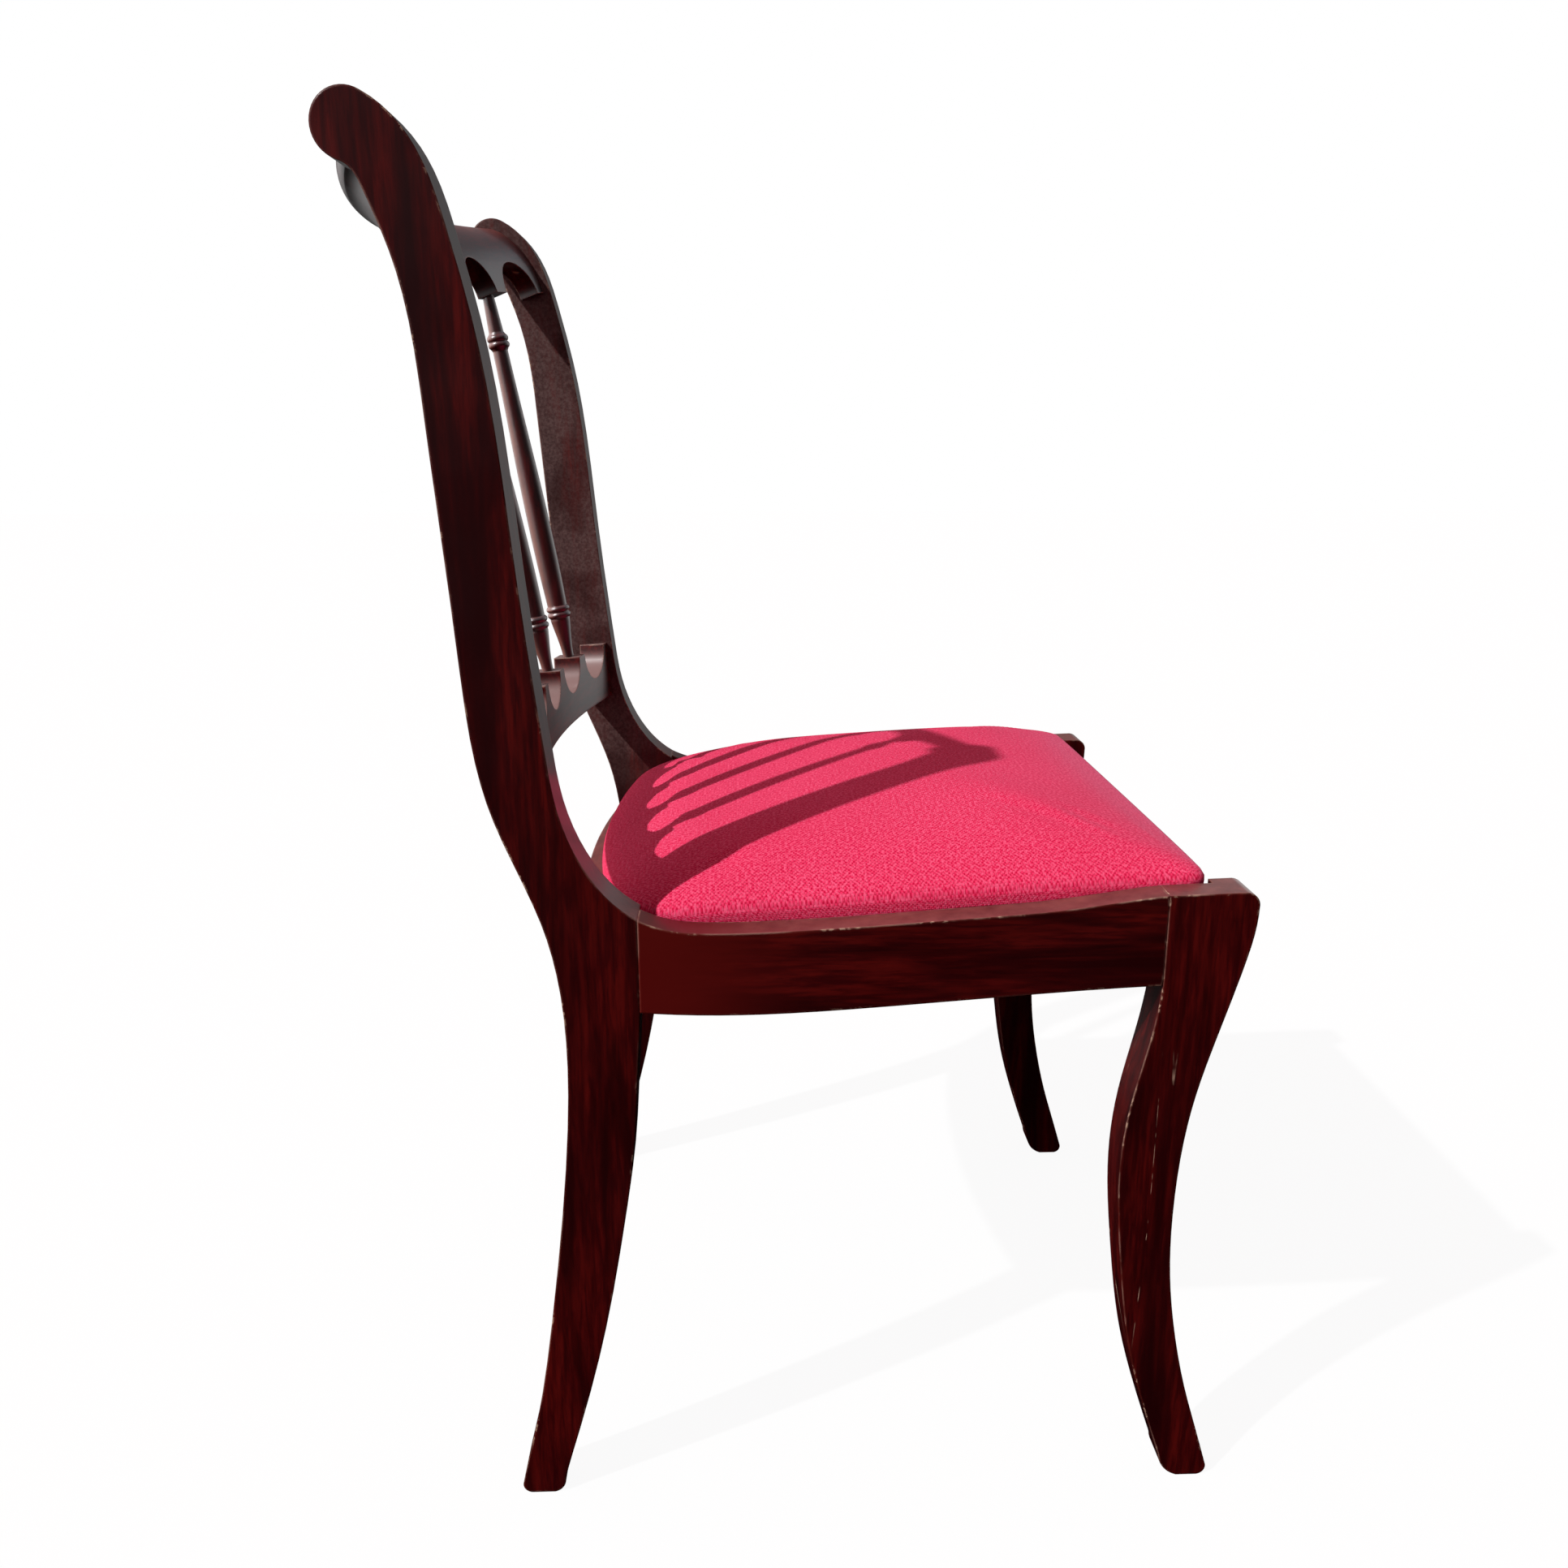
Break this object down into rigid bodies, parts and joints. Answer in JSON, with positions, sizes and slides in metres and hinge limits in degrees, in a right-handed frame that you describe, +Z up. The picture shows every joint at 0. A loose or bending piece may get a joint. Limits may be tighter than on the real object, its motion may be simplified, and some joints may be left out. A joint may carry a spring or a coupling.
{
  "type": "side chair",
  "caption": "Wooden side chair with sabre legs, scroll topped stiles, an arcaded spindle back and a lift-out upholstered seat",
  "frame": {"origin": "on the floor, under the middle of the chair's overall width and depth", "axes": "+Z up, -Y towards the front of the chair, +X towards the sitter's left"},
  "size_m": [0.44, 0.5655, 0.87],
  "materials": {
    "mahogany": "gloss lacquer over dark red stain, lightly worn",
    "beech": "bare sawn wood",
    "steel": "plain, slightly dulled",
    "jute_webbing": "coarse weave",
    "stuffing": "soft felted fill",
    "seat_cloth": "matt close weave"
  },
  "bodies": {
    "frame": {"rear_leg_right": "mahogany", "rear_leg_left": "mahogany", "front_leg_right": "mahogany", "front_leg_left": "mahogany", "side_rail_right": "mahogany", "side_rail_left": "mahogany", "front_rail": "mahogany", "rear_rail": "mahogany", "crest_rail": "mahogany", "lower_back_rail": "mahogany", "spindle_1": "mahogany", "spindle_2": "mahogany", "spindle_3": "mahogany", "spindle_4": "mahogany", "spindle_5": "mahogany", "corner_block_front_right": "beech", "corner_block_front_left": "beech", "corner_block_rear_right": "beech", "corner_block_rear_left": "beech", "rail_dowels": "beech", "corner_block_screws": "steel"},
    "slip_seat": {"seat_frame_front": "beech", "seat_frame_rear": "beech", "seat_frame_right": "beech", "seat_frame_left": "beech", "seat_webbing": "jute_webbing", "seat_padding": "stuffing", "seat_cover": "seat_cloth", "cover_tacks": "steel"}
  },
  "joints": [
    {"name": "seat_lift", "type": "slide", "parent": "frame", "child": "slip_seat", "axis": [0, 0.0599, 0.9982], "range_m": [0, 0.12]}
  ]
}
